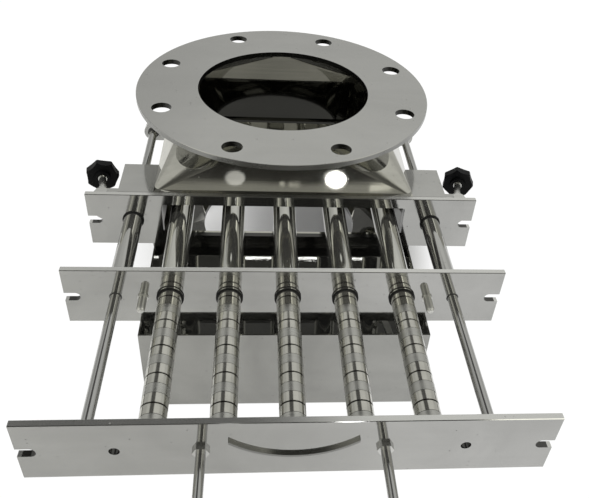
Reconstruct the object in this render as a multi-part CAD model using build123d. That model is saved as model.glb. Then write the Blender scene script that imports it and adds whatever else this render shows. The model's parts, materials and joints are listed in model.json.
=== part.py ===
"""Chute magnet: a flanged square housing with a two-stage drawer of tubes and magnet cores.

Frame: millimetres, +Z up the duct, the drawer opens towards -Y. The origin is the centre of the
outlet flange's lower face. The drawer is drawn out in both stages and the swing bolts are folded back.
"""
from build123d import *
from math import cos, radians, sin
import os

# Duct
duct_side = 280.0
duct_wall = 3.0
ledge = 5.0
outlet_height = 112.0
inlet_height = 88.0
throat_radius = 100.0
corner_radius = 8.0
flange_rim = 22.5
flange_thickness = 6.0
flange_pitch_radius = 147.5
flange_hole_radius = 11.0
flange_holes = 8

# Plates
plate_overhang = 70.0
plate_height = 65.0
plate_thickness = 6.0
plate_chamfer = 0.5
end_slot_width = 9.5
opening_margin = 8.0
opening_height = 41.0
opening_corner = 3.0

# Drawer travel
tube_travel = 113.0
magnet_travel = 164.0
seal_thickness = 2.0
seal_width = 8.0
seal_margin = 2.0
closed_gap = 0.3

# Tubes and magnet cores
core_count = 5
core_margin = 20.0
tube_radius = 12.5
tube_wall = 0.8
tube_rim = 2.0
tube_rear_gap = 7.3
tube_end_chamfer = 2.0
core_clearance = 0.5
core_end_gap = 5.0
magnet_length = 21.6
pole_length = 9.6
foot_length = 21.0
tip_length = 6.0
core_end_chamfer = 1.5

# Guides
guide_offset = 23.0
rod_radius = 5.0
guide_hole_clearance = 0.8
running_gap = 0.05
fixed_gap = 0.02
guide_tube_radius = 10.0
guide_tube_bore = 6.0
tube_bush_length = 20.0
bracket_length = 54.0
bracket_margin = 14.0
bracket_wall = 4.0
lug_setback = 181.0
lug_thickness = 10.0
lug_radius = 11.5
lug_bush_radius = 7.0
lug_bush_length = 12.0
stop_ring_radius = 13.0
stop_ring_width = 5.0
collar_radius = 9.0
collar_width = 8.0
end_play = 0.3
end_stub = 2.0

# Swing bolts and star knobs
bolt_inset = 10.0
hinge_setback = 24.0
bolt_radius = 4.0
eye_radius = 8.5
eye_thickness = 11.0
eye_gap = 0.5
hinge_lug_thickness = 8.0
hinge_lug_radius = 9.0
pin_head_radius = 6.5
pin_head_height = 3.0
knob_slack = 2.0
thread_engagement = 12.0
knob_radius = 19.3
knob_thickness = 12.0
knob_points = 7
knob_point_rounding = 2.4
knob_waist_radius = 16.6
knob_crown = 2.5
hub_radius = 9.0
hub_height = 3.0
insert_radius = 5.0
insert_length = 14.0
left_splay_angle = 10.0
right_splay_angle = 14.0

# Dowels
dowel_offset = 25.5
dowel_radius = 4.0
dowel_length = 20.0
dowel_collar_radius = 5.0
dowel_collar_height = 1.8
dowel_spigot_radius = 3.0
dowel_clearance = 0.3

# Pull handle and finger lip
handle_x = 72.0
handle_reach = 74.0
handle_radius = 4.0
handle_bend = 14.0
handle_thread = 5.0
nut_across_flats = 12.0
nut_height = 3.5
lip_half_width = 51.0
lip_sag = 18.0
lip_end_height = 11.5
lip_thickness = 2.2
lip_projection = 2.5

# Catch tray
tray_overhang = 4.0
tray_length = 139.5
tray_wall = 2.0
tray_drop = 3.5
tray_front_depth = 111.0
tray_rear_depth = 14.0
tray_bend = 4.0
tab_inset = 4.0
tab_length = 36.0
tab_setback = 3.0
tray_screw_offset = 18.0
tray_screw_y = 20.0
tray_screw_radius = 3.0
tray_screw_head_radius = 5.0
tray_screw_head_height = 4.0
tray_nut_across_flats = 10.0
tray_nut_height = 5.0

# Places worked out from the sizes above
drawer_z = outlet_height
half_height = plate_height / 2
duct_half = duct_side / 2
flange_radius = flange_pitch_radius + flange_rim
plate_width = duct_side + 2 * plate_overhang
opening_width = duct_side - 2 * opening_margin
core_pitch = (opening_width - 2 * core_margin) / (core_count - 1)
face_back = -duct_half
face_front = face_back - plate_thickness
tube_plate_back = face_front - closed_gap - seal_thickness - tube_travel
tube_plate_front = tube_plate_back - plate_thickness
closed_tube_front = face_front - closed_gap - seal_thickness - plate_thickness - tube_rim
tube_length = duct_half - duct_wall - tube_rear_gap - closed_tube_front
tube_end_wall = tube_end_chamfer + tube_wall
core_room = tube_length - tube_end_wall - core_end_gap - foot_length - tip_length
core_groups = int(core_room / (magnet_length + pole_length))
magnet_plate_back = tube_plate_front - tube_rim - closed_gap - magnet_travel
magnet_plate_front = magnet_plate_back - plate_thickness
bracket_back = face_back + bracket_length
guide_x = duct_half + guide_offset
dowel_x = guide_x - dowel_offset
bolt_x = plate_width / 2 - bolt_inset
bracket_outer_x = guide_x + bracket_margin
tray_half_width = duct_half + tray_overhang
tab_outer_x = bracket_outer_x - tab_inset
tray_screw_x = duct_half + tray_screw_offset
lug_y = face_back + lug_setback
lug_back = lug_y + lug_thickness
core_xs = [(k - (core_count - 1) / 2) * core_pitch for k in range(core_count)]
core_radius = tube_radius - tube_wall - core_clearance
hinge_y = face_back + hinge_setback
stack_depth = hinge_y - face_front + seal_thickness + tube_rim + 2 * closed_gap + 2 * plate_thickness
knob_seat = stack_depth + knob_slack
bolt_tip = knob_seat + thread_engagement

os.makedirs("parts", exist_ok=True)


def block(x0, x1, y0, y1, z0, z1):
    """A box between two corners."""
    centre = Pos((x0 + x1) / 2, (y0 + y1) / 2, (z0 + z1) / 2)
    return centre * Box(abs(x1 - x0), abs(y1 - y0), abs(z1 - z0))


def bar_y(radius, y0, y1, x=0.0, z=drawer_z):
    """A round bar along Y from y0 to y1."""
    upright = Cylinder(radius, y1 - y0, align=(Align.CENTER, Align.CENTER, Align.MIN))
    return Pos(x, y0, z) * Rot(-90, 0, 0) * upright


def bar_z(radius, z0, z1, x=0.0, y=0.0):
    """A round bar along Z from z0 to z1."""
    return Pos(x, y, z0) * Cylinder(radius, z1 - z0, align=(Align.CENTER, Align.CENTER, Align.MIN))


def plate_plane(y):
    """The plane of a drawer plate's front face, seen from the front: local Y is up, local Z is -Y."""
    return Plane(origin=(0, y, drawer_z), x_dir=(1, 0, 0), z_dir=(0, -1, 0))


def save(shape, node):
    """Writes one sub-part; several loose solids become one compound."""
    solids = shape if isinstance(shape, list) else [shape]
    whole = solids[0] if len(solids) == 1 else Compound(children=solids)
    whole.label = node
    export_step(whole, f"parts/{node}.step")


def section_wire(edges_of_side):
    """A closed wire of four sides, each a straight or slight edge followed by a corner edge."""
    return Wire([edge for side in edges_of_side for edge in side])


def base_wire(width, depth, radius, z):
    """Rounded rectangle as four lines and four corner arcs, counter-clockwise from the front side."""
    hx, hy = width / 2, depth / 2
    sides = []
    for turn, (a, b) in enumerate([(hx, hy), (hy, hx), (hx, hy), (hy, hx)]):
        line = Edge.make_line((-a + radius, -b, z), (a - radius, -b, z))
        arc = Edge.make_three_point_arc(
            (a - radius, -b, z),
            (a - radius + radius * sin(radians(45)), -b + radius - radius * cos(radians(45)), z),
            (a, -b + radius, z),
        )
        sides.append([edge.rotate(Axis.Z, 90 * turn) for edge in (line, arc)])
    return section_wire(sides)


def throat_wire(radius, z, facet_angle=3.0):
    """Circle as four short arcs over the flat sides and four long arcs over the corners."""
    def point(angle):
        return (radius * sin(radians(angle)), -radius * cos(radians(angle)), z)

    half = facet_angle / 2
    sides = []
    for turn in range(4):
        short = Edge.make_three_point_arc(point(-half), point(0), point(half))
        long = Edge.make_three_point_arc(point(half), point(45), point(90 - half))
        sides.append([edge.rotate(Axis.Z, 90 * turn) for edge in (short, long)])
    return section_wire(sides)


def square_to_round(base_z, throat_z):
    """Sheet-metal shell from the housing's rectangle to the round throat."""
    depth = duct_side - 2 * ledge
    outer = Solid.make_loft(
        [base_wire(duct_side, depth, corner_radius, base_z),
         throat_wire(throat_radius + duct_wall, throat_z)], ruled=True)
    inner = Solid.make_loft(
        [base_wire(duct_side - 2 * duct_wall, depth - 2 * duct_wall, corner_radius - duct_wall, base_z),
         throat_wire(throat_radius, throat_z)], ruled=True)
    return outer - inner


def flange(z0):
    """Flat ring with a bolt circle; no hole lies on the drawer's centre plane."""
    ring = bar_z(flange_radius, z0, z0 + flange_thickness) - bar_z(throat_radius, z0 - 1, z0 + flange_thickness + 1)
    ring = chamfer(ring.edges().filter_by(GeomType.CIRCLE).group_by(SortBy.RADIUS)[-1], plate_chamfer)
    for k in range(flange_holes):
        angle = radians((k + 0.5) * 360 / flange_holes)
        x, y = flange_pitch_radius * cos(angle), flange_pitch_radius * sin(angle)
        ring -= bar_z(flange_hole_radius, z0 - 1, z0 + flange_thickness + 1, x, y)
    return ring


def housing():
    """Square box with folded ledges above and below and the drawer's opening in its front wall."""
    inside = duct_side - 2 * duct_wall
    mouth = duct_side - 2 * ledge - 2 * duct_wall
    middle = Pos(0, 0, drawer_z)
    box = middle * Box(duct_side, duct_side, plate_height)
    box -= middle * Box(inside, inside, plate_height - 2 * duct_wall)
    box -= middle * Box(inside, mouth, plate_height + 2)
    return box - drawer_opening(face_back - 1, duct_wall + 2)


def drawer_opening(y, depth):
    """The rounded slot that the tubes pass through."""
    outline = plate_plane(y) * RectangleRounded(opening_width, opening_height, opening_corner)
    return extrude(outline, -depth)


def end_slot(side):
    """Sketch of the slot that is open at a plate's end and takes a swing bolt."""
    reach = plate_width / 2 - bolt_x + 1
    return Pos(side * bolt_x, 0) * (Circle(end_slot_width / 2) + Pos(side * reach / 2, 0) * Rectangle(reach, end_slot_width))


def drawer_plate(front, holes):
    """A flat plate with end slots; holes lists (x, radius) on the drawer's axis height."""
    outline = Rectangle(plate_width, plate_height)
    for side in (-1, 1):
        outline -= end_slot(side)
    for x, radius in holes:
        outline -= Pos(x, 0) * Circle(radius)
    plate = extrude(plate_plane(front) * outline, -plate_thickness)
    long_edges = plate.edges().filter_by(Axis.X).filter_by(lambda e: e.length > plate_width / 2)
    return chamfer(long_edges, plate_chamfer)


def mirrored_pair(right, stem):
    """Saves a right-hand piece and its mirror image."""
    save(right, f"right_{stem}")
    pieces = right if isinstance(right, list) else [right]
    save([mirror(piece, about=Plane.YZ) for piece in pieces], f"left_{stem}")


def guide_bracket():
    """Folded box behind the face plate: top, bottom, outer side and a rear web bored for the guide tube."""
    low, high = drawer_z - half_height, drawer_z + half_height
    shell = block(duct_half, bracket_outer_x, face_back, bracket_back, low, high)
    inner_x = bracket_outer_x - bracket_wall
    shell -= block(duct_half - 1, inner_x, face_back - 1, bracket_back - bracket_wall,
                   low + bracket_wall, high - bracket_wall)
    shell -= bar_y(guide_tube_radius + running_gap, bracket_back - bracket_wall - 1, bracket_back + 1, guide_x)
    return shell - bar_z(tray_screw_radius + fixed_gap, low - 1, low + bracket_wall + 1,
                         tray_screw_x, face_back + tray_screw_y)


def rear_lug():
    """Round-ended plate on the housing's side that carries a guide rod's bush."""
    outline = Pos(guide_x, 0) * Circle(lug_radius)
    outline += Pos((duct_half + guide_x) / 2, 0) * Rectangle(guide_x - duct_half, 2 * lug_radius)
    lug = extrude(plate_plane(lug_y) * outline, -lug_thickness)
    return lug - bar_y(lug_bush_radius + fixed_gap, lug_y - 1, lug_back + 1, guide_x)


def bush(outer, y0, length):
    """Plain bearing bush on a guide rod's axis."""
    return bar_y(outer, y0, y0 + length, guide_x) - bar_y(rod_radius + running_gap, y0 - 1, y0 + length + 1, guide_x)


def hinge_lugs():
    """Two round-ended lugs above and below a swing bolt's eye."""
    inner = eye_thickness / 2 + eye_gap
    lugs = []
    for side in (-1, 1):
        z0 = drawer_z + min(side * inner, side * (inner + hinge_lug_thickness))
        lug = bar_z(hinge_lug_radius, z0, z0 + hinge_lug_thickness, bolt_x, hinge_y)
        lug += block(bracket_outer_x, bolt_x, hinge_y - hinge_lug_radius, hinge_y + hinge_lug_radius,
                     z0, z0 + hinge_lug_thickness)
        lugs.append(lug - bar_z(bolt_radius + fixed_gap, z0 - 1, z0 + hinge_lug_thickness + 1, bolt_x, hinge_y))
    return lugs


def hinge_pin():
    """Pin with a head above the upper lug and a riveted head below the lower one."""
    reach = eye_thickness / 2 + eye_gap + hinge_lug_thickness
    pin = bar_z(bolt_radius, drawer_z - reach, drawer_z + reach, bolt_x, hinge_y)
    pin += bar_z(pin_head_radius, drawer_z + reach, drawer_z + reach + pin_head_height, bolt_x, hinge_y)
    return pin + bar_z(pin_head_radius, drawer_z - reach - pin_head_height, drawer_z - reach, bolt_x, hinge_y)


def on_hinge(shape, side):
    """Moves a piece modelled along +Y from the hinge to a bolt folded back and splayed outwards."""
    splay = right_splay_angle if side > 0 else left_splay_angle
    return Pos(side * bolt_x, hinge_y, drawer_z) * Rot(0, 0, -side * splay) * shape


def swing_bolt():
    """Eye bolt: flat-sided eye on the hinge pin and a round shank along +Y."""
    eye = bar_z(eye_radius, -eye_thickness / 2, eye_thickness / 2)
    shank = bar_y(bolt_radius, 0, bolt_tip, z=0)
    return eye + shank - bar_z(bolt_radius + running_gap, -eye_thickness, eye_thickness)


def star_knob():
    """Star knob with hollow sides, a crowned face, a hub towards the hinge and a pocket for its insert."""
    def at(radius, step):
        angle = radians(step * 360 / knob_points)
        return (radius * cos(angle), radius * sin(angle))

    star = make_face([ThreePointArc(at(knob_radius, k), at(knob_waist_radius, k + 0.5), at(knob_radius, k + 1))
                      for k in range(knob_points)])
    star = fillet(star.vertices(), knob_point_rounding)
    disc = extrude(Plane((0, knob_seat + hub_height, 0), x_dir=(1, 0, 0), z_dir=(0, 1, 0)) * star, knob_thickness)
    face = knob_seat + hub_height + knob_thickness
    inset = knob_radius - knob_crown
    profile = Polyline((0, knob_seat), (hub_radius, knob_seat), (hub_radius, knob_seat + hub_height),
                       (inset, knob_seat + hub_height), (knob_radius, knob_seat + hub_height + knob_crown),
                       (knob_radius, face - knob_crown))
    crown = ThreePointArc((knob_radius, face - knob_crown), (inset * 0.8, face - knob_crown * 0.35), (0, face))
    puck = revolve(make_face(profile + crown + Line((0, face), (0, knob_seat))), Axis.Y)
    knob = disc & puck
    knob += bar_y(hub_radius, knob_seat, knob_seat + hub_height + 1, z=0)
    return knob - bar_y(insert_radius + fixed_gap, knob_seat - 1, knob_seat + insert_length, z=0)


def knob_insert():
    """Metal bush moulded into the knob, bored for the bolt's thread."""
    insert = bar_y(insert_radius, knob_seat, knob_seat + insert_length, z=0)
    return insert - bar_y(bolt_radius + running_gap, knob_seat - 1, knob_seat + insert_length + 1, z=0)


def closed_tube(x):
    """Thin-walled tube, proud of the tube plate in front and closed by a flat end behind."""
    y0 = tube_plate_front - tube_rim
    tube = bar_y(tube_radius, y0, y0 + tube_length, x)
    tube = chamfer(tube.edges().sort_by(Axis.Y)[-1], tube_end_chamfer)
    return tube - bar_y(tube_radius - tube_wall, y0 - 1, y0 + tube_length - tube_end_wall, x)


def plate_seal():
    """Flat rectangular seal on the back of the tube plate, around the drawer opening."""
    width, height = opening_width + 2 * seal_margin, opening_height + 2 * seal_margin
    outline = RectangleRounded(width + 2 * seal_width, height + 2 * seal_width, opening_corner + seal_width)
    outline -= RectangleRounded(width, height, opening_corner)
    return extrude(plate_plane(tube_plate_back) * outline, -seal_thickness)


def guide_tube():
    """Tube butted to the tube plate's back, long enough to carry its stop ring behind the bracket."""
    end = bracket_back + end_play + stop_ring_width + end_stub
    tube = bar_y(guide_tube_radius, tube_plate_back, end, guide_x)
    return tube - bar_y(guide_tube_bore, tube_plate_back - 1, end + 1, guide_x)


def tube_bushes():
    """Front bush through the tube plate and rear bush at the guide tube's end."""
    end = bracket_back + end_play + stop_ring_width + end_stub
    outer = guide_tube_bore - fixed_gap
    return [bush(outer, tube_plate_front, tube_bush_length), bush(outer, end - tube_bush_length, tube_bush_length)]


def stop_ring():
    """Ring on the guide tube that meets the bracket's web when the tube stage is fully out."""
    y0 = bracket_back + end_play
    ring = bar_y(stop_ring_radius, y0, y0 + stop_ring_width, guide_x)
    return ring - bar_y(guide_tube_radius + fixed_gap, y0 - 1, y0 + stop_ring_width + 1, guide_x)


def dowel():
    """Stepped dowel on the tube plate: spigot in the plate, collar and round-nosed shank."""
    pin = bar_y(dowel_spigot_radius, tube_plate_front, tube_plate_back, dowel_x)
    pin += bar_y(dowel_collar_radius, tube_plate_front - dowel_collar_height, tube_plate_front, dowel_x)
    shank = bar_y(dowel_radius, tube_plate_front - dowel_length, tube_plate_front - dowel_collar_height, dowel_x)
    return pin + fillet(shank.edges().sort_by(Axis.Y)[0], dowel_radius * 0.8)


def guide_rod():
    """Rod from the magnet plate's back to just behind its stop collar."""
    end = lug_back + (lug_bush_length - lug_thickness) / 2 + end_play + collar_width + end_stub
    rod = bar_y(rod_radius, magnet_plate_back, end, guide_x)
    return chamfer(rod.edges().sort_by(Axis.Y)[-1], rod_radius / 5)


def stop_collar():
    """Collar on the guide rod that meets the rear bush when both stages are fully out."""
    y0 = lug_back + (lug_bush_length - lug_thickness) / 2 + end_play
    collar = bar_y(collar_radius, y0, y0 + collar_width, guide_x)
    return collar - bar_y(rod_radius + fixed_gap, y0 - 1, y0 + collar_width + 1, guide_x)


def core_magnets(x):
    """The magnets of one core, each followed by a pole piece."""
    y0 = magnet_plate_back + foot_length
    step = magnet_length + pole_length
    return [bar_y(core_radius, y0 + k * step, y0 + k * step + magnet_length, x) for k in range(core_groups)]


def core_poles(x):
    """The pole pieces of one core."""
    y0 = magnet_plate_back + foot_length + magnet_length
    step = magnet_length + pole_length
    return [bar_y(core_radius, y0 + k * step, y0 + k * step + pole_length, x) for k in range(core_groups)]


def core_foot(x):
    """Plug between the magnet plate and a core's first magnet."""
    return bar_y(core_radius, magnet_plate_back, magnet_plate_back + foot_length, x)


def core_tip(x):
    """Chamfered cap on a core's rear end."""
    y0 = magnet_plate_back + foot_length + core_groups * (magnet_length + pole_length)
    tip = bar_y(core_radius, y0, y0 + tip_length, x)
    return chamfer(tip.edges().sort_by(Axis.Y)[-1], core_end_chamfer)


def pull_handle():
    """Bent round bar, screwed into the magnet plate at both feet."""
    start = magnet_plate_front + handle_thread
    bend_y = magnet_plate_front - handle_reach
    path = FilletPolyline((-handle_x, start, drawer_z), (-handle_x, bend_y, drawer_z),
                          (handle_x, bend_y, drawer_z), (handle_x, start, drawer_z), radius=handle_bend)
    foot = Plane(origin=(-handle_x, start, drawer_z), z_dir=(0, -1, 0))
    return sweep(foot * Circle(handle_radius), path=path)


def hex_nut_y(across_flats, height, bore, x, y0):
    """Hexagon nut on an axis along Y."""
    outline = RegularPolygon(across_flats / 2, 6, major_radius=False) - Circle(bore)
    return Pos(x, y0, drawer_z) * Rot(-90, 0, 0) * extrude(outline, height)


def finger_lip():
    """Arched strip that stands out of the magnet plate's face and sags in the middle."""
    radius = (lip_half_width ** 2 + lip_sag ** 2) / (2 * lip_sag)
    centre_z = lip_end_height - lip_sag + radius
    ring = Circle(radius + lip_thickness / 2) - Circle(radius - lip_thickness / 2)
    window = Pos(0, -radius) * Rectangle(2 * lip_half_width, 2 * lip_sag + lip_thickness)
    return extrude(plate_plane(magnet_plate_front) * (Pos(0, centre_z) * (ring & window)), lip_projection)


def catch_tray():
    """Open-topped tray with a sloping floor, hung from the brackets by two rear tabs."""
    rear, front = face_front + tray_wall, face_front + tray_wall - tray_length
    top = drawer_z - half_height - tray_drop
    corners = [(rear, top), (front, top), (front, top - tray_front_depth), (rear, top - tray_rear_depth)]
    side = make_face(Polyline(*corners, close=True))
    bends = side.vertices().sort_by(Axis.Y)[:2]
    side = fillet(bends, tray_bend)
    raised = side + make_face(Polyline((rear, top), (rear, top + 5 * tray_wall), (front, top + 5 * tray_wall),
                                       (front, top), close=True))
    hollow = offset(raised, -tray_wall)
    across = Plane.YZ.offset(-tray_half_width)
    tray = extrude(across * side, 2 * tray_half_width)
    tray -= extrude(Plane.YZ.offset(tray_wall - tray_half_width) * hollow, 2 * (tray_half_width - tray_wall))
    under = drawer_z - half_height
    tray += block(-tray_half_width, tray_half_width, face_front, rear, top - tray_wall, under)
    tray += block(-tab_outer_x, tab_outer_x, face_front + tab_setback, face_back + tray_wall, under - tray_wall, under)
    tray += block(-tray_half_width, tray_half_width, rear - tray_wall, face_front + tab_setback, under - tray_wall, under)
    for sign in (-1, 1):
        tray += block(sign * (duct_half + 1), sign * tab_outer_x, face_back, face_back + tab_length,
                      under - tray_wall, under)
        tray -= bar_z(tray_screw_radius + fixed_gap, under - tray_wall - 1, under + 1,
                      sign * tray_screw_x, face_back + tray_screw_y)
    return tray


def tray_screw(sign):
    """Hexagon-free round-headed screw up through a tray tab and the bracket's floor."""
    under = drawer_z - half_height
    tip = under + bracket_wall + tray_nut_height + end_stub
    screw = bar_z(tray_screw_radius, under - tray_wall, tip, sign * tray_screw_x, face_back + tray_screw_y)
    head = bar_z(tray_screw_head_radius, under - tray_wall - tray_screw_head_height, under - tray_wall,
                 sign * tray_screw_x, face_back + tray_screw_y)
    return screw + head


def tray_nut(sign):
    """Nut inside the bracket on a tray screw."""
    outline = RegularPolygon(tray_nut_across_flats / 2, 6, major_radius=False) - Circle(tray_screw_radius + fixed_gap)
    z0 = drawer_z - half_height + bracket_wall
    return Pos(sign * tray_screw_x, face_back + tray_screw_y, z0) * extrude(outline, tray_nut_height)


# Duct and everything fixed to it
inlet_face = outlet_height + inlet_height
save(housing(), "housing")
save(square_to_round(drawer_z + half_height, inlet_face - flange_thickness), "inlet_transition")
save(square_to_round(drawer_z - half_height, flange_thickness), "outlet_transition")
save(flange(inlet_face - flange_thickness), "inlet_flange")
save(flange(0), "outlet_flange")
guide_holes = [(sign * guide_x, guide_tube_radius + guide_hole_clearance) for sign in (-1, 1)]
save(drawer_plate(face_front, guide_holes) - drawer_opening(face_front - 1, plate_thickness + 2), "face_plate")
mirrored_pair(guide_bracket(), "guide_bracket")
mirrored_pair(rear_lug(), "rear_lug")
mirrored_pair(bush(lug_bush_radius, lug_y - (lug_bush_length - lug_thickness) / 2, lug_bush_length), "rear_bush")
mirrored_pair(hinge_lugs(), "hinge_lugs")
mirrored_pair(hinge_pin(), "hinge_pin")
save(catch_tray(), "catch_tray")
save([tray_screw(sign) for sign in (-1, 1)], "tray_screws")
save([tray_nut(sign) for sign in (-1, 1)], "tray_nuts")

# Swing bolts and knobs
for side, name in ((-1, "left"), (1, "right")):
    save(on_hinge(swing_bolt(), side), f"{name}_swing_bolt")
    save(on_hinge(star_knob(), side), f"{name}_star_knob")
    save(on_hinge(knob_insert(), side), f"{name}_knob_insert")

# Tube stage
tube_plate_holes = [(x, tube_radius + fixed_gap) for x in core_xs]
tube_plate_holes += [(sign * guide_x, guide_tube_bore) for sign in (-1, 1)]
tube_plate_holes += [(sign * dowel_x, dowel_spigot_radius + fixed_gap) for sign in (-1, 1)]
save(drawer_plate(tube_plate_front, tube_plate_holes), "tube_plate")
for k, x in enumerate(core_xs, start=1):
    save(closed_tube(x), f"tube_{k}")
save(plate_seal(), "plate_seal")
mirrored_pair(guide_tube(), "guide_tube")
mirrored_pair(tube_bushes(), "tube_bushes")
mirrored_pair(stop_ring(), "stop_ring")
mirrored_pair(dowel(), "dowel")

# Magnet stage
magnet_plate_holes = [(sign * dowel_x, dowel_radius + dowel_clearance) for sign in (-1, 1)]
magnet_plate_holes += [(sign * handle_x, handle_radius + fixed_gap) for sign in (-1, 1)]
save(drawer_plate(magnet_plate_front, magnet_plate_holes), "magnet_plate")
for k, x in enumerate(core_xs, start=1):
    save(core_magnets(x), f"core_{k}_magnets")
    save(core_poles(x), f"core_{k}_poles")
save([core_foot(x) for x in core_xs], "core_feet")
save([core_tip(x) for x in core_xs], "core_tips")
mirrored_pair(guide_rod(), "guide_rod")
mirrored_pair(stop_collar(), "stop_collar")
save(pull_handle(), "pull_handle")
save([hex_nut_y(nut_across_flats, nut_height, handle_radius + fixed_gap, sign * handle_x,
                magnet_plate_front - nut_height) for sign in (-1, 1)], "handle_nuts")
save(finger_lip(), "finger_lip")
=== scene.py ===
"""Looks of the chute magnet: duct, drawer of tubes, magnet cores, clamps and tray.

Metres, in the CAD model's frame: +Z up the duct, the drawer opens towards -Y.
"""
import json
import bmesh
import bpy
import numpy as np
from math import cos, pi, radians, sin
from mathutils import Matrix, Vector


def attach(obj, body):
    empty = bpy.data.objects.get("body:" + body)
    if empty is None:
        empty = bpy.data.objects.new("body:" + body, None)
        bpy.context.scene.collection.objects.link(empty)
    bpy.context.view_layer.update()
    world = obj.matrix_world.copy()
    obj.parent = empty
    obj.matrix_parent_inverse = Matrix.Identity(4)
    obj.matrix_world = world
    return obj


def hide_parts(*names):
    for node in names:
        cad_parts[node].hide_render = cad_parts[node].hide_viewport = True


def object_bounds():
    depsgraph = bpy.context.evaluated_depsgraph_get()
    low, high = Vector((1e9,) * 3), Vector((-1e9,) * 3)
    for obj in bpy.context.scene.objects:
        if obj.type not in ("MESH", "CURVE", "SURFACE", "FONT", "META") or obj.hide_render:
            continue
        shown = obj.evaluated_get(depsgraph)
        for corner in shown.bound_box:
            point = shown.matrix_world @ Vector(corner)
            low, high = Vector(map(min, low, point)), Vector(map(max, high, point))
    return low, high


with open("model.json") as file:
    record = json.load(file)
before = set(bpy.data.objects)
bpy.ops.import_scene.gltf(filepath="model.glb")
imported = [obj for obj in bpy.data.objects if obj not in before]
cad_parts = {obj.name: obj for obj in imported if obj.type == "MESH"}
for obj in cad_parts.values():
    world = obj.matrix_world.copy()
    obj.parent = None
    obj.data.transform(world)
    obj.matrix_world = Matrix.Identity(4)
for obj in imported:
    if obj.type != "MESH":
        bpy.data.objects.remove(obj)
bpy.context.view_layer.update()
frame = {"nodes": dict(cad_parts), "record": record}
nodes = frame["nodes"]


# ---------------------------------------------------------------- sizes, in metres
DRAWER_Z = 0.112                      # height of the tubes' and cores' middle
PITCH = 0.056
CORE_XS = (np.arange(5) - 2) * PITCH
GUIDE_XS = {"left": -0.163, "right": 0.163}

# A core stands on the magnet plate's inner face: a foot, then magnets with a pole piece after each.
PLATE_INNER_Y = -0.4336
FOOT, MAGNET, POLE = 0.021, 0.0216, 0.0096
MAGNETS = 8
CORE_RADIUS = 0.0112
CHAMFER = 0.0004                      # edges of a magnet's two discs
GROOVE, GROOVE_DEPTH = 0.0008, 3 * CHAMFER

# Painted shade: a black ring on a tube's mouth, standing for the shadowed gap round the core. The slit between its
# two legs holds the tube's wall.
MOUTH_SHADE_FRONT, MOUTH_SHADE_SLIT_END = -0.2695, -0.26933
MOUTH_SHADE_INNER_LEG, MOUTH_SHADE_OUTER_LEG = -0.2675, -0.2684
MOUTH_SHADE_BORE, MOUTH_SHADE_RIM = 0.01128, 0.01290
MOUTH_SHADE_SLIT = (0.01166, 0.01254)
MOUTH_SHADE_CHAMFER = 0.0001

# Painted shade: a black ring in front of a guide tube's hole, standing for the shadowed gap round the tube.
GUIDE_SHADE_FRONT, GUIDE_SHADE_BACK = -0.1473, -0.1461
GUIDE_SHADE_BORE, GUIDE_SHADE_RIM = 0.01006, 0.0113
GUIDE_SHADE_ROUNDING = 0.0003

AROUND = 72                           # points round a turned shape
ROUNDING_STEPS = 6                    # points along a rounded edge
FOLD = radians(30)                    # faces that meet at more than this have a sharp edge
SAME_PLACE = 1e-6


# ---------------------------------------------------------------- meshes
def put(name, data):
    """A new object of some data, in the scene."""
    made = bpy.data.objects.new(name, data)
    bpy.context.scene.collection.objects.link(made)
    return made


def weld(mesh):
    """Points that share a place become one, so a profile's ends on the axis are single poles."""
    shell = bmesh.new()
    shell.from_mesh(mesh)
    bmesh.ops.remove_doubles(shell, verts=shell.verts, dist=SAME_PLACE)
    shell.to_mesh(mesh)
    shell.free()


def mesh_piece(name, points, faces, body, slot, finish, replaced=()):
    """One smooth object at the origin from arrays of points and faces, riding on its body."""
    mesh = bpy.data.meshes.new(name)
    mesh.from_pydata(points.tolist(), [], faces.tolist())
    weld(mesh)
    mesh.polygons.foreach_set("use_smooth", np.full(len(mesh.polygons), True))
    mesh.validate()
    mesh.update()
    mesh.set_sharp_from_angle(angle=FOLD)
    mesh.materials.append(FINISH[finish])
    piece = put(name, mesh)
    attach(piece, body)
    if replaced:
        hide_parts(*replaced)


def grid_faces(rows, columns, closed):
    """Quads between neighbouring points of a rows by columns grid, joined round its columns, and
    round its rows too where it is closed."""
    r, c = np.meshgrid(np.arange(rows if closed else rows - 1), np.arange(columns), indexing="ij")
    r1, c1 = (r + 1) % rows, (c + 1) % columns
    quads = np.stack([r * columns + c, r1 * columns + c, r1 * columns + c1, r * columns + c1], -1)
    return quads.reshape(-1, 4)


def revolved(profile, closed=False):
    """Points and faces of a profile of (distance along, radius) pairs turned round the +Y axis.

    A point is (radius cos a, along, radius sin a) for angle a from 0 to a full turn. A closed
    profile is a ring's section; another starts and ends on the axis with radius 0."""
    along, radius = np.asarray(profile, float).T
    a = np.arange(AROUND) * 2 * pi / AROUND
    x = radius[:, None] * np.cos(a)
    z = radius[:, None] * np.sin(a)
    y = np.repeat(along[:, None], AROUND, 1)
    return np.stack([x, y, z], -1).reshape(-1, 3), grid_faces(len(along), AROUND, closed)


# ---------------------------------------------------------------- steps of a node tree
def feed(tree, socket, value):
    """An input linked to an output, or set to a number, vector or colour."""
    if isinstance(value, bpy.types.NodeSocket):
        tree.links.new(value, socket)
    else:
        socket.default_value = value


def node(tree, kind, inputs=None, **settings):
    """A node with its settings made, then its inputs fed by name or number."""
    made = tree.nodes.new(kind)
    for key, value in settings.items():
        setattr(made, key, value)
    for label, value in (inputs or {}).items():
        feed(tree, made.inputs[label], value)
    return made


def maths(tree, operation, first, second=0.0):
    """One step of arithmetic on numbers."""
    return node(tree, "ShaderNodeMath", {0: first, 1: second}, operation=operation).outputs[0]


def plus(tree, first, second):
    """Two numbers added."""
    return maths(tree, "ADD", first, second)


def times(tree, first, second):
    """Two numbers multiplied."""
    return maths(tree, "MULTIPLY", first, second)


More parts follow.
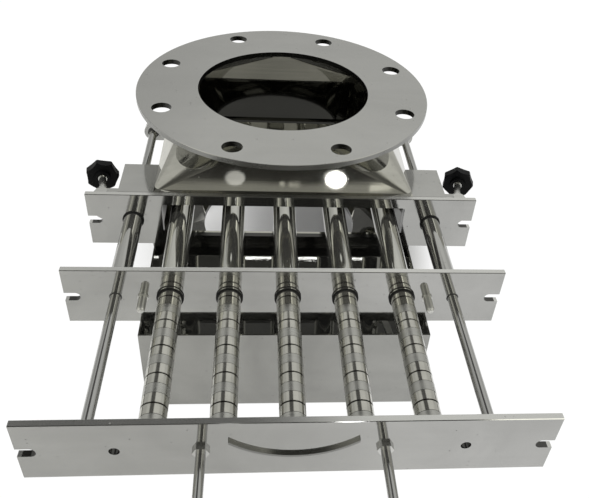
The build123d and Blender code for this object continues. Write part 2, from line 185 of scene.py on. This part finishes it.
def vectors(tree, operation, first, second=(0, 0, 0)):
    """One step of arithmetic on vectors. A dot product or a length comes out as a number."""
    made = node(tree, "ShaderNodeVectorMath", {0: first, 1: second}, operation=operation)
    return made.outputs["Value" if operation in ("DOT_PRODUCT", "LENGTH") else "Vector"]


def ramp(tree, value, result, span=(0.0, 1.0)):
    """A value carried evenly from a span to a result, and held at both ends."""
    return node(tree, "ShaderNodeMapRange", {"Value": value, "From Min": span[0], "From Max": span[1],
                                             "To Min": result[0], "To Max": result[1]}).outputs[0]


def band(tree, value, middle, half, soft):
    """1 where a value lies within half of the middle, falling to 0 over the soft edge outside it."""
    away = maths(tree, "ABSOLUTE", maths(tree, "SUBTRACT", value, middle))
    return ramp(tree, away, (1.0, 0.0), (half, half + soft))


def blended(tree, share, first, second, kind="FLOAT"):
    """A number between two others, or of kind RGBA a colour."""
    made = node(tree, "ShaderNodeMix", {"Factor": share, "A": first, "B": second}, data_type=kind)
    return made.outputs["Result"]


def toned(tree, share, first, second):
    """A colour between two others."""
    return blended(tree, share, first, second, "RGBA")


def shaders(tree, share, first, second):
    """Two shaders mixed by a share of the second."""
    return node(tree, "ShaderNodeMixShader", {0: share, 1: first, 2: second}).outputs[0]


def noise(tree, place, scale, detail, roughness=0.5, distortion=0.0):
    """Soft noise round 0.5, read at a place."""
    return node(tree, "ShaderNodeTexNoise", {"Vector": place, "Scale": scale, "Detail": detail,
                                             "Roughness": roughness, "Distortion": distortion}).outputs["Fac"]


def raised(tree, height, strength, distance=0.0002):
    """A bump node: the surface's normal where a height of 0 to 1 stands for a distance."""
    return node(tree, "ShaderNodeBump", {"Height": height, "Strength": strength, "Distance": distance})


def coordinates(tree):
    """The surface's own coordinates and normal, by name."""
    return node(tree, "ShaderNodeTexCoord").outputs


# ---------------------------------------------------------------- shared effects
def group(name, inputs, outputs):
    """An empty shader node group with its inputs, each a number or a vector, and numbers as outputs."""
    tree = bpy.data.node_groups.new(name, "ShaderNodeTree")
    for label, value in inputs.items():
        kind = "NodeSocketVector" if isinstance(value, tuple) else "NodeSocketFloat"
        tree.interface.new_socket(name=label, in_out="INPUT", socket_type=kind).default_value = value
    for label in outputs:
        tree.interface.new_socket(name=label, in_out="OUTPUT", socket_type="NodeSocketFloat")
    return tree, tree.nodes.new("NodeGroupInput").outputs, tree.nodes.new("NodeGroupOutput").inputs


def grain_group():
    """Ground and drawn lines: noise on object coordinates, stretched along one axis by unequal scales.
    Lines is their height, Streaks the same noise six times broader, for light and dark."""
    tree, given, out = group("drawn_grain", {"Scale": (40, 900, 900)}, ("Lines", "Streaks"))
    stretched = vectors(tree, "MULTIPLY", coordinates(tree)["Object"], given["Scale"])
    feed(tree, out["Lines"], noise(tree, stretched, scale=1.0, detail=3.0, roughness=0.65))
    feed(tree, out["Streaks"], noise(tree, stretched, scale=0.16, detail=2.0))
    return tree


def handling_group():
    """Marks of handling. Film is a soft cloud of wiped film, stretched to 0..1. Specks are small round
    spots in cells of noise: 1 near a cell's point, in that share of the cells which Speck Amount picks."""
    tree, given, out = group("handling_marks", {"Film Scale": 14.0, "Speck Scale": 160.0, "Speck Amount": 0.5},
                             ("Film", "Specks"))
    place = coordinates(tree)["Object"]
    cloud = noise(tree, place, given["Film Scale"], detail=4.0, roughness=0.6, distortion=0.7)
    cells = node(tree, "ShaderNodeTexVoronoi", {"Vector": place, "Scale": given["Speck Scale"],
                                                "Randomness": 1.0}, feature="F1").outputs
    drawn = node(tree, "ShaderNodeSeparateColor", {0: cells["Color"]}).outputs[0]
    picked = maths(tree, "LESS_THAN", drawn, given["Speck Amount"])
    near = ramp(tree, cells["Distance"], result=(1.0, 0.0), span=(0.05, 0.16))
    feed(tree, out["Film"], ramp(tree, cloud, result=(0.0, 1.0), span=(0.36, 0.72)))
    feed(tree, out["Specks"], times(tree, near, picked))
    return tree


def waviness_group():
    """Slow unevenness of rolled and hand-polished sheet: broad noise as a bump's height."""
    tree, given, out = group("sheet_waviness", {"Scale": 9.0}, ("Height",))
    feed(tree, out["Height"], noise(tree, coordinates(tree)["Object"], given["Scale"], detail=1.0, roughness=0.4))
    return tree


def cut_wall_group():
    """Where a sheet was cut through. Wall is 1 on faces square to the sheet, whose normal is Axis. Hole
    is 1 on those walls that lie within Reach of the Centre, an ellipsoid that takes in holes and slots
    but no rim."""
    tree, given, out = group("cut_walls", {"Axis": (0, 1, 0), "Centre": (0, 0, 0), "Reach": (1, 1, 1)},
                             ("Wall", "Hole"))
    place = coordinates(tree)
    facing = maths(tree, "ABSOLUTE", vectors(tree, "DOT_PRODUCT", place["Normal"], given["Axis"]))
    wall = ramp(tree, facing, result=(1.0, 0.0), span=(0.3, 0.6))
    offset = vectors(tree, "SUBTRACT", place["Object"], given["Centre"])
    away = vectors(tree, "LENGTH", vectors(tree, "DIVIDE", offset, given["Reach"]))
    feed(tree, out["Wall"], wall)
    feed(tree, out["Hole"], times(tree, maths(tree, "LESS_THAN", away, 1.0), wall))
    return tree


def inner_face_group():
    """The duct's inner faces, where painted shade is laid: 1 where the place, flattened onto XY, and the normal
    point opposite ways.
    """
    tree, _, out = group("inner_faces", {}, ("Inside",))
    place = coordinates(tree)
    flat = vectors(tree, "MULTIPLY", place["Object"], (1, 1, 0))
    feed(tree, out["Inside"], maths(tree, "LESS_THAN", vectors(tree, "DOT_PRODUCT", flat, place["Normal"]), 0.0))
    return tree


GRAIN, HANDLING, WAVINESS = grain_group(), handling_group(), waviness_group()
CUT_WALLS, INNER_FACES = cut_wall_group(), inner_face_group()


def placed(tree, shared, **values):
    """A shared effect's outputs in a material, with its own values."""
    inputs = {label.replace("_", " "): value for label, value in values.items()}
    return node(tree, "ShaderNodeGroup", inputs, node_tree=shared).outputs


# ---------------------------------------------------------------- finishes
METALLIC = 0.95
SPECKS = 0.2                          # share of cells with a speck
SPECK_SHARE, SPECK_TONE = 0.7, 0.45   # how much a speck covers, and how dark it is
SPECK_DULLER, CUT_DULLER = 0.25, 0.12
HOLE_SHADE_SHARE = 0.9
SHADOW = (0.02, 0.02, 0.018, 1)       # painted shade: near-black for metal that mirrors only other dark metal, laid in holes, magnet grooves and the duct's inside
BLACK = (0, 0, 0, 1)
EVERYWHERE = (9, 9, 9)

DUST = {"Film_Scale": 45.0, "Speck_Scale": 260.0, "Speck_Amount": 0.12}
PORE_SCALE, PORE_HEIGHT = 700.0, 0.15
WEAR_SHARE, WEAR_DULLER = 0.8, 0.18


def tone(colour, share=1.0):
    """A colour times a share, held at white, with full alpha."""
    return (*[min(1.0, c * share) for c in colour], 1)


def new_material(name):
    """A material, its node tree and its shader's inputs."""
    material = bpy.data.materials.new(name)
    material.use_nodes = True
    return material, material.node_tree, material.node_tree.nodes["Principled BSDF"].inputs


def steel(name, colour, roughness, grain=(40, 900, 900), lines=0.06, streaks=0.05, film=0.06, film_scale=14.0,
          cloud=0.0, tint=0.06, wave_scale=9.0, wave_height=0.0, cut=None, rim=None, inside=0.0, ends=0.0):
    """Bare stainless steel or nickel: drawn grain and waviness bend the light, film and specks dull it.

    lines is the grain's height, streaks and tint how far its streaks change roughness and colour,
    film and cloud how far wiped film does. cut is (axis, centre, reach) of a sheet whose cut edges are
    ground and whose holes are darkened inside with painted shade, and rim the share and colour that its
    cut edges take, on the flange a near-black painted shade. inside is how far painted shade darkens
    the duct's inner faces, and ends how far it darkens faces square to Y, which are the grooves of a magnet."""
    material, tree, shader = new_material(name)
    shader["Metallic"].default_value = METALLIC
    grained = placed(tree, GRAIN, Scale=grain)
    marks = placed(tree, HANDLING, Speck_Amount=SPECKS, Film_Scale=film_scale)

    rough = plus(tree, ramp(tree, grained["Streaks"], (roughness - streaks / 2, roughness + streaks)),
                 ramp(tree, marks["Film"], (0.0, film)))
    rough = plus(tree, rough, ramp(tree, marks["Specks"], (0.0, SPECK_DULLER)))
    streak = ramp(tree, grained["Streaks"], result=(0.0, 1.0), span=(0.3, 0.7))
    shown = toned(tree, streak, tone(colour, 1 - tint), tone(colour, 1 + tint))
    shown = toned(tree, ramp(tree, marks["Specks"], (0.0, SPECK_SHARE)), shown, tone(colour, SPECK_TONE))
    if cloud:
        shown = toned(tree, ramp(tree, marks["Film"], (0.0, cloud)), shown, BLACK)
    if cut:
        axis, centre, reach = cut
        walls = placed(tree, CUT_WALLS, Axis=axis, Centre=centre, Reach=reach)
        rough = plus(tree, rough, ramp(tree, walls["Wall"], (0.0, CUT_DULLER)))
        rim_share, rim_colour = rim
        # the cut edges' colour, on the satin flange a near-black painted shade
        shown = toned(tree, ramp(tree, walls["Wall"], (0.0, rim_share)), shown, tone(rim_colour))
        # painted shade inside holes and slots
        shown = toned(tree, ramp(tree, walls["Hole"], (0.0, HOLE_SHADE_SHARE)), shown, SHADOW)
    if ends:
        # painted shade in the grooves between a magnet's discs
        grooves = placed(tree, CUT_WALLS, Axis=(0, 1, 0), Reach=EVERYWHERE)
        shown = toned(tree, ramp(tree, grooves["Wall"], (ends, 0.0)), shown, SHADOW)
    if inside:
        # painted shade on the duct's inner faces
        bore = placed(tree, INNER_FACES)
        shown = toned(tree, ramp(tree, bore["Inside"], (0.0, inside)), shown, SHADOW)
    feed(tree, shader["Roughness"], rough)
    feed(tree, shader["Base Color"], shown)

    surface = raised(tree, grained["Lines"], lines)
    if wave_height:
        waves = placed(tree, WAVINESS, Scale=wave_scale)
        wavy = raised(tree, waves["Height"], 1.0, wave_height)
        feed(tree, wavy.inputs["Normal"], surface.outputs[0])
        surface = wavy
    feed(tree, shader["Normal"], surface.outputs[0])
    return material


def moulded(name, colour, roughness, worn, specular=0.5):
    """Moulded plastic or rubber: fine pores on the surface, and a cloud that dulls it and adds the
    worn colour to its own."""
    material, tree, shader = new_material(name)
    shader["Specular IOR Level"].default_value = specular
    film = placed(tree, HANDLING, **DUST)["Film"]
    lighter = [c + w for c, w in zip(colour, worn)]
    feed(tree, shader["Base Color"],
         toned(tree, ramp(tree, film, (0.0, WEAR_SHARE)), tone(colour), tone(lighter)))
    feed(tree, shader["Roughness"], ramp(tree, film, (roughness, roughness + WEAR_DULLER)))
    pores = noise(tree, coordinates(tree)["Object"], PORE_SCALE, detail=2.0)
    feed(tree, shader["Normal"], raised(tree, pores, PORE_HEIGHT).outputs[0])
    return material


# A sheet's cut is its normal, its middle, and the reach of its holes and slots from there.
FLANGE_CUT = ((0, 0, 1), (0, 0, 0), (0.163, 0.163, 10.0))
PLATE_CUT = ((0, 1, 0), (0, 0, DRAWER_Z), (0.2094, 10.0, 0.031))

POLISHED = dict(colour=(0.46, 0.455, 0.41), roughness=0.02, lines=0.012, streaks=0.01, film=0.025, cloud=0.10,
                wave_scale=8.0, wave_height=0.0004)
ROLLED = dict(grain=(30, 700, 700), lines=0.04, streaks=0.02, film=0.05, tint=0.015, wave_scale=6.0,
              wave_height=0.0004)
DRAWN = dict(grain=(900, 25, 900))

STEELS = {
    # The satin flange's near-black rim colour is painted shade on its cut side.
    "satin_steel": dict(colour=(0.42, 0.42, 0.405), roughness=0.12, grain=(30, 420, 420), lines=0.03,
                        streaks=0.03, film=0.08, film_scale=7.0, cloud=0.10, tint=0.015, wave_scale=8.0,
                        wave_height=0.0004, cut=FLANGE_CUT, rim=(0.5, (0.05, 0.05, 0.045))),
    "polished_steel": POLISHED,
    # housing_steel's inside is painted shade on the duct's inner faces, outlet_steel's a little of it.
    "housing_steel": {**POLISHED, "roughness": 0.03, "inside": 0.93},
    "outlet_steel": {**POLISHED, "inside": 0.1},
    "plate_steel": dict(ROLLED, colour=(0.41, 0.41, 0.395), roughness=0.045, film_scale=9.0, cloud=0.16,
                        cut=PLATE_CUT, rim=(0.8, (0.62, 0.62, 0.6))),
    "bracket_steel": dict(ROLLED, colour=(0.40, 0.40, 0.385), roughness=0.06, cloud=0.10),
    "tray_steel": dict(colour=(0.34, 0.34, 0.323), roughness=0.012, grain=(30, 600, 600), lines=0.02,
                       streaks=0.004, film=0.004, film_scale=8.0, cloud=0.22, tint=0.015,
                       wave_height=0.00012),
    "tube_steel": dict(DRAWN, colour=(0.50, 0.50, 0.465), roughness=0.045, lines=0.04, streaks=0.03, film=0.05,
                       cloud=0.12),
    "guide_steel": dict(DRAWN, colour=(0.40, 0.40, 0.385), roughness=0.06, lines=0.05, streaks=0.03, film=0.05),
    "rod_steel": dict(DRAWN, colour=(0.37, 0.37, 0.36), roughness=0.08, streaks=0.04),
    # magnet_nickel's ends is painted shade in the grooves between its discs.
    "magnet_nickel": dict(colour=(0.47, 0.465, 0.425), roughness=0.07, grain=(500, 500, 500), streaks=0.04,
                          film=0.07, film_scale=60.0, cloud=0.08, ends=0.9),
    "pole_steel": dict(colour=(0.42, 0.42, 0.395), roughness=0.24, grain=(60, 1600, 60), lines=0.20,
                       streaks=0.08, film=0.10),
    "zinc_hardware": dict(colour=(0.52, 0.52, 0.50), roughness=0.16, grain=(300, 300, 300), lines=0.12,
                          film=0.12),
    "lip_steel": dict(colour=(0.22, 0.22, 0.21), roughness=0.24, grain=(30, 700, 700), lines=0.1, film=0.05),
    "turned_steel": dict(colour=(0.60, 0.60, 0.57), roughness=0.42, grain=(1200, 40, 1200), lines=0.25,
                         film=0.10),
}
MOULDINGS = {
    "knob_plastic": dict(colour=(0.0025, 0.0025, 0.003), roughness=0.40, worn=(0.003, 0.003, 0.003), specular=0.10),
    "seal_rubber": dict(colour=(0.42, 0.42, 0.40), roughness=0.60, worn=(0.05, 0.05, 0.05)),
    # The next finish is painted shade: near-black for the rings put in the shadowed gaps at tube mouths and guide
    # holes.
    "gap_shade_black": dict(colour=(0.006, 0.006, 0.006), roughness=0.50, worn=(0.006, 0.006, 0.006), specular=0.25),
    "bush_plastic": dict(colour=(0.05, 0.05, 0.048), roughness=0.45, worn=(0.03, 0.03, 0.03)),
}
FINISH = {name: steel(name, **look) for name, look in STEELS.items()}
FINISH.update({name: moulded(name, **look) for name, look in MOULDINGS.items()})

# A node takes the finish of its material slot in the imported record, unless it is named here.
FINISH_OF = {part["node"]: part["material_slot"] for part in frame["record"]["subparts"]}
FINISH_OF.update(catch_tray="tray_steel", housing="housing_steel", outlet_transition="outlet_steel",
                 finger_lip="lip_steel")
for side in GUIDE_XS:
    FINISH_OF[side + "_dowel"] = "turned_steel"
    FINISH_OF[side + "_guide_tube"] = "guide_steel"
    for part in ("_guide_bracket", "_hinge_lugs", "_rear_lug"):
        FINISH_OF[side + part] = "bracket_steel"

for name, obj in nodes.items():
    obj.data.materials.clear()
    obj.data.materials.append(FINISH[FINISH_OF[name]])


# ---------------------------------------------------------------- magnet cores
def disc_profile(low, high):
    """(along, radius) pairs over a disc's side: flat between two chamfers."""
    return [(low, CORE_RADIUS - CHAMFER), (low + CHAMFER, CORE_RADIUS),
            (high - CHAMFER, CORE_RADIUS), (high, CORE_RADIUS - CHAMFER)]


def magnet_profile(start):
    """(along, radius) pairs of a magnet of two discs, between which the profile drops into a groove."""
    middle, end = start + MAGNET / 2, start + MAGNET
    low, high = middle - GROOVE / 2, middle + GROOVE / 2
    groove = [(low, CORE_RADIUS - GROOVE_DEPTH), (high, CORE_RADIUS - GROOVE_DEPTH)]
    return [(start, 0.0)] + disc_profile(start, low) + groove + disc_profile(high, end) + [(end, 0.0)]


def core_magnets(x):
    """Points and faces of all magnets of the core at x, each one's faces counted on from the last
    one's points."""
    starts = PLATE_INNER_Y + FOOT + np.arange(MAGNETS) * (MAGNET + POLE)
    shapes = [revolved(magnet_profile(start)) for start in starts]
    points = np.concatenate([p for p, _ in shapes]) + [x, 0, DRAWER_Z]
    faces = np.concatenate([f + k * len(p) for k, (p, f) in enumerate(shapes)])
    return points, faces


for k, x in enumerate(CORE_XS, 1):
    mesh_piece("core_%d_magnet_discs" % k, *core_magnets(x), "magnet_stage", "magnet_nickel", "magnet_nickel",
               replaced=("core_%d_magnets" % k,))


# ---------------------------------------------------------------- black rings of painted shade at tube mouths and guide holes
def mouth_shade_profile():
    """(along, radius) pairs round the U-shaped section of a tube mouth's black ring of painted shade: it
    lines the gap round the core, covers the tube's end and grips a millimetre of its outside."""
    inside, outside = MOUTH_SHADE_SLIT
    return [(MOUTH_SHADE_INNER_LEG, MOUTH_SHADE_BORE), (MOUTH_SHADE_FRONT + MOUTH_SHADE_CHAMFER, MOUTH_SHADE_BORE), (MOUTH_SHADE_FRONT, MOUTH_SHADE_BORE + MOUTH_SHADE_CHAMFER),
            (MOUTH_SHADE_FRONT, MOUTH_SHADE_RIM - MOUTH_SHADE_CHAMFER), (MOUTH_SHADE_FRONT + MOUTH_SHADE_CHAMFER, MOUTH_SHADE_RIM), (MOUTH_SHADE_OUTER_LEG, MOUTH_SHADE_RIM),
            (MOUTH_SHADE_OUTER_LEG, outside), (MOUTH_SHADE_SLIT_END, outside), (MOUTH_SHADE_SLIT_END, inside), (MOUTH_SHADE_INNER_LEG, inside)]


def guide_shade_profile():
    """(along, radius) pairs round the section of a guide hole's black ring of painted shade: four quarter
    circles of its rounding radius, one at each corner of its bore, rim, front and back."""
    edge = GUIDE_SHADE_ROUNDING
    front, back = GUIDE_SHADE_FRONT + edge, GUIDE_SHADE_BACK - edge
    bore, rim = GUIDE_SHADE_BORE + edge, GUIDE_SHADE_RIM - edge
    turn = np.linspace(0, pi / 2, ROUNDING_STEPS)
    s, c = edge * np.sin(turn), edge * np.cos(turn)
    corners = (front - s, bore - c), (front - c, rim + s), (back + s, rim + c), (back + c, bore - s)
    return np.concatenate([np.stack(corner, -1) for corner in corners])


# Black rings of painted shade in the gaps at the tube mouths and in front of the guide holes.
for k, x in enumerate(CORE_XS, 1):
    points, faces = revolved(mouth_shade_profile(), closed=True)
    mesh_piece("tube_%d_lip" % k, points + [x, 0, DRAWER_Z], faces, "tube_stage", "seal_rubber", "gap_shade_black")
for side, x in GUIDE_XS.items():
    points, faces = revolved(guide_shade_profile(), closed=True)
    mesh_piece("%s_guide_shade_ring" % side, points + [x, 0, DRAWER_Z], faces, "duct_frame", "seal_rubber",
               "gap_shade_black")

# ---------------------------------------------------------------- floor
FLOOR_HALF, FLOOR_GAP = 6.0, 0.0005
GROUND = (0.8, 0.8, 0.79, 1)
WHITE = (1, 1, 1, 1)
WHITE_STRENGTH, SHADE_STRENGTH = 1.04, 0.12

# A fade is (result, span): the shares at its two ends, and the metres between which they change, out
# from the duct's axis, along X or along Y. A band is its middle, half width and soft edge, in metres.
CLEAR_OF_DUCT = ((0.0, 1.0), (0.16, 0.22))
# Painted light and shade on the floor: under the duct the white share in view falls from left to right, in mirrors
# it is smaller on the left, and the SHADE_ values lay painted shade.
WHITE_SEEN_CLEAR, WHITE_SEEN_UNDER_X = 0.95, ((0.42, 0.04), (-0.10, 0.07))
WHITE_MIRRORED_UNDER, WHITE_MIRRORED_CLEAR_X = 0.55, ((0.36, 1.0), (-0.12, 0.22))
SHADE_BEHIND_Y, SHADE_BEHIND_X_BAND = ((0.0, 1.0), (0.09, 0.13)), (0.0, 0.09, 0.04)
SHADE_AHEAD_Y, SHADE_AHEAD_X = ((0.22, 0.0), (-0.52, -0.36)), ((1.0, 0.0), (-0.06, 0.10))
SHADE_UNDER_X = ((0.0, 0.75), (-0.01, 0.07))


def pale_floor():
    """The ground sheet: pale and matt, with a share of plain white where a camera or a mirror looks at
    it. In view the share fades under the duct, to a little painted light that falls from left to right,
    and painted shade darkens the right. In mirrors painted shade dims the left, and more painted shade
    lies behind the duct's middle and ahead on the left."""
    material = bpy.data.materials.new("pale_floor")
    material.use_nodes = True
    tree = material.node_tree
    tree.nodes.clear()
    path = node(tree, "ShaderNodeLightPath").outputs
    seen = path["Is Camera Ray"]
    mirrored = plus(tree, path["Is Glossy Ray"], path["Is Transmission Ray"])
    place = coordinates(tree)["Object"]
    x, y, _ = node(tree, "ShaderNodeSeparateXYZ", {0: place}).outputs
    from_axis = vectors(tree, "LENGTH", vectors(tree, "MULTIPLY", place, (1, 1, 0)))
    clear = ramp(tree, from_axis, *CLEAR_OF_DUCT)

    # Painted light: under the duct the white share in view falls from left to right; painted shade: in mirrors it
    # is smaller on the left.
    seen_white = blended(tree, clear, ramp(tree, x, *WHITE_SEEN_UNDER_X), WHITE_SEEN_CLEAR)
    mirrored_white = blended(tree, clear, WHITE_MIRRORED_UNDER, ramp(tree, x, *WHITE_MIRRORED_CLEAR_X))
    white_share = plus(tree, times(tree, seen, seen_white), times(tree, mirrored, mirrored_white))

    # Painted shade: behind the duct's middle and ahead on the left in mirrors, and under the duct on the right in
    # view.
    behind = times(tree, ramp(tree, y, *SHADE_BEHIND_Y), band(tree, x, *SHADE_BEHIND_X_BAND))
    ahead = times(tree, ramp(tree, y, *SHADE_AHEAD_Y), ramp(tree, x, *SHADE_AHEAD_X))
    under = times(tree, ramp(tree, x, *SHADE_UNDER_X), ramp(tree, clear, (1.0, 0.0)))
    shade_share = plus(tree, times(tree, mirrored, plus(tree, behind, ahead)), times(tree, seen, under))

    matt = node(tree, "ShaderNodeBsdfDiffuse", {"Color": GROUND}).outputs[0]
    white = node(tree, "ShaderNodeEmission", {"Color": WHITE, "Strength": WHITE_STRENGTH}).outputs[0]
    shade = node(tree, "ShaderNodeEmission", {"Color": WHITE, "Strength": SHADE_STRENGTH}).outputs[0]
    lit = shaders(tree, white_share, matt, white)
    node(tree, "ShaderNodeOutputMaterial", {0: shaders(tree, shade_share, lit, shade)})
    return material


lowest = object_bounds()[0][2]
corners = np.array([[-1, -1, 0], [1, -1, 0], [1, 1, 0], [-1, 1, 0]]) * FLOOR_HALF + [0, 0, lowest - FLOOR_GAP]
floor_mesh = bpy.data.meshes.new("floor")
floor_mesh.from_pydata(corners.tolist(), [], [(0, 1, 2, 3)])
floor_mesh.materials.append(pale_floor())
floor = put("floor", floor_mesh)

# ---------------------------------------------------------------- room
# Directions: Y is ahead, Z the sine of the height above the horizon, and lean the angle in degrees from
# straight up round the Y axis. A brightness is followed by the directions between which it is reached,
# or by a band: its middle, half width and soft edge.
AHEAD_Y = (-0.15, 0.15)
WALL_AHEAD, WALL_AHEAD_Z = (0.68, 0.85), (0.40, 0.54)
WALL_LEFT, WALL_LEFT_LEAN = 0.86, (-20, 0)
STRIP, STRIP_LEAN_BAND, STRIP_Z = 0.07, (-11, 14, 6), (0.665, 0.70)
CEILING, CEILING_Z = 0.17, (0.83, 0.88)
WALL_ASIDE, WALL_ASIDE_LEAN = 1.1, (32, 42)
# Height and brightness behind
BEHIND = ((0.0, 0.30), (0.40, 0.30), (0.524, 0.36), (0.531, 0.03), (0.56, 0.01), (0.64, 0.16), (0.74, 0.14),
          (0.90, 0.06))
# Lean, half width, brightness
REAR_WINDOWS = ((-63, 4, 2.4), (35, 5, 3.0))
WINDOW_EDGE, WINDOW_Y_BAND = 1.0, (-0.70, 0.14, 0.02)
# Lean, half width, height, half height, brightness
REAR_MARKS = ((3.6, 0.25, 0.528, 0.0015, 0.9), (5.0, 0.25, 0.528, 0.0015, 0.9), (5.9, 0.3, 0.528, 0.0015, 0.9),
              (18.8, 1.3, 0.521, 0.004, 1.1))
MARK_EDGE, MARK_Z_EDGE = 0.2, 0.001
LIGHT_BEHIND, LIGHT_AHEAD = (1.0, 0.99, 0.90, 1), (1.0, 1.0, 0.97, 1)


def lean_band(tree, lean, middle, half, soft):
    """band() for a lean, with its numbers in degrees."""
    return band(tree, lean, radians(middle), radians(half), radians(soft))


def room():
    """Light of the room by direction. Ahead are a light wall, duller to the left, one dark strip along Y
    above it, and a dim ceiling. Behind, a dim wall and a dark ceiling are light to the sides, with two
    bright windows and a few small bright marks. Looked at directly, the room is white."""
    world = bpy.data.worlds.new("room")
    bpy.context.scene.world = world
    world.use_nodes = True
    tree = world.node_tree
    tree.nodes.clear()
    x, y, z = node(tree, "ShaderNodeSeparateXYZ", {0: coordinates(tree)["Generated"]}).outputs
    lean = maths(tree, "ARCTAN2", x, z)

    strip = times(tree, lean_band(tree, lean, *STRIP_LEAN_BAND), ramp(tree, z, (0.0, 1.0), STRIP_Z))
    wall = times(tree, ramp(tree, z, WALL_AHEAD, WALL_AHEAD_Z),
                 ramp(tree, lean, (WALL_LEFT, 1.0), [radians(v) for v in WALL_LEFT_LEAN]))
    ahead = blended(tree, ramp(tree, z, (0.0, 1.0), CEILING_Z), blended(tree, strip, wall, STRIP), CEILING)

    heights = node(tree, "ShaderNodeValToRGB", {0: z})
    stops = heights.color_ramp.elements
    while len(stops) < len(BEHIND):
        stops.new(0.5)
    for stop, (height, level) in zip(stops, BEHIND):
        stop.position, stop.color = height, (level, level, level, 1)
    aside = ramp(tree, maths(tree, "ABSOLUTE", lean), (0.0, 1.0), [radians(v) for v in WALL_ASIDE_LEAN])
    behind = blended(tree, aside, heights.outputs[0], WALL_ASIDE)
    for middle, half, level in REAR_WINDOWS:
        window = times(tree, lean_band(tree, lean, middle, half, WINDOW_EDGE), band(tree, y, *WINDOW_Y_BAND))
        behind = blended(tree, window, behind, level)
    for middle, half, height, half_height, level in REAR_MARKS:
        mark = times(tree, lean_band(tree, lean, middle, half, MARK_EDGE),
                     band(tree, z, height, half_height, MARK_Z_EDGE))
        behind = blended(tree, mark, behind, level)

    forward = ramp(tree, y, (0.0, 1.0), AHEAD_Y)
    light = node(tree, "ShaderNodeBackground", {"Color": toned(tree, forward, LIGHT_BEHIND, LIGHT_AHEAD),
                                                "Strength": blended(tree, forward, behind, ahead)}).outputs[0]
    white = node(tree, "ShaderNodeBackground", {"Color": WHITE, "Strength": 1.0}).outputs[0]
    seen = node(tree, "ShaderNodeLightPath").outputs["Is Camera Ray"]
    node(tree, "ShaderNodeOutputWorld", {0: shaders(tree, seen, light, white)})


room()

# ---------------------------------------------------------------- lamps
LAMPS = (  # name, place, aim, watts, shape, length and width, mirrored in polished metal
    ("left_softbox", (-1.35, -0.35, 1.9), (0, -0.25, 0), 26, "RECTANGLE", (0.8, 0.8), False),
    ("right_softbox", (1.35, -0.35, 1.9), (0, -0.25, 0), 32, "RECTANGLE", (0.8, 0.8), False),
    ("ceiling_strip", (0.2, -0.91, 2.2), (0.2, -0.3, 0.0), 0.10, "RECTANGLE", (0.55, 0.007), True),
    ("dim_disc", (-0.123, -2.243, 1.486), (-0.056, -0.128, 0.156), 0.012, "ELLIPSE", (0.090, 0.068), True),
    ("bright_disc", (0.334, -2.230, 1.492), (0.055, -0.128, 0.156), 0.16, "ELLIPSE", (0.100, 0.078), True),
)
for name, place, aim, watts, shape, (length, width), mirrored in LAMPS:
    data = bpy.data.lights.new(name, "AREA")
    data.shape, data.energy, data.size, data.size_y = shape, watts, length, width
    lamp = put(name, data)
    lamp.visible_glossy = mirrored
    turn = (Vector(aim) - Vector(place)).to_track_quat("-Z", "Y")
    lamp.matrix_world = Matrix.Translation(place) @ turn.to_matrix().to_4x4()

# ---------------------------------------------------------------- camera
FRAME_WIDTH, FRAME_HEIGHT = 589.0, 498.0
FOCAL, CENTRE = 705.246, (323.41, 251.95)          # in the frame's pixels
SENSOR = 36.0
CLIP = (0.02, 50)
CAMERA_PLACE = (-0.03135, -0.76714, 0.58052)
PITCH_DOWN, YAW, ROLL = radians(39.23), radians(7.09), radians(5.01)


def camera():
    """The photograph's view: pitch down, yaw towards +X, then roll, and a shifted centre."""
    ahead = Vector((sin(YAW) * cos(PITCH_DOWN), cos(YAW) * cos(PITCH_DOWN), -sin(PITCH_DOWN)))
    right = Vector((cos(YAW), -sin(YAW), 0))
    up = right.cross(ahead)
    right, up = cos(ROLL) * right + sin(ROLL) * up, cos(ROLL) * up - sin(ROLL) * right
    data = bpy.data.cameras.new("camera")
    data.sensor_fit, data.sensor_width = "HORIZONTAL", SENSOR
    data.lens = SENSOR * FOCAL / FRAME_WIDTH
    data.shift_x = (FRAME_WIDTH / 2 - CENTRE[0]) / FRAME_WIDTH
    data.shift_y = (CENTRE[1] - FRAME_HEIGHT / 2) / FRAME_WIDTH
    data.clip_start, data.clip_end = CLIP
    obj = put("camera", data)
    place = Matrix((right, up, -ahead)).transposed().to_4x4()
    place.translation = Vector(CAMERA_PLACE)
    obj.matrix_world = place
    bpy.context.scene.camera = obj


camera()
bpy.context.scene.view_settings.view_transform = "Standard"
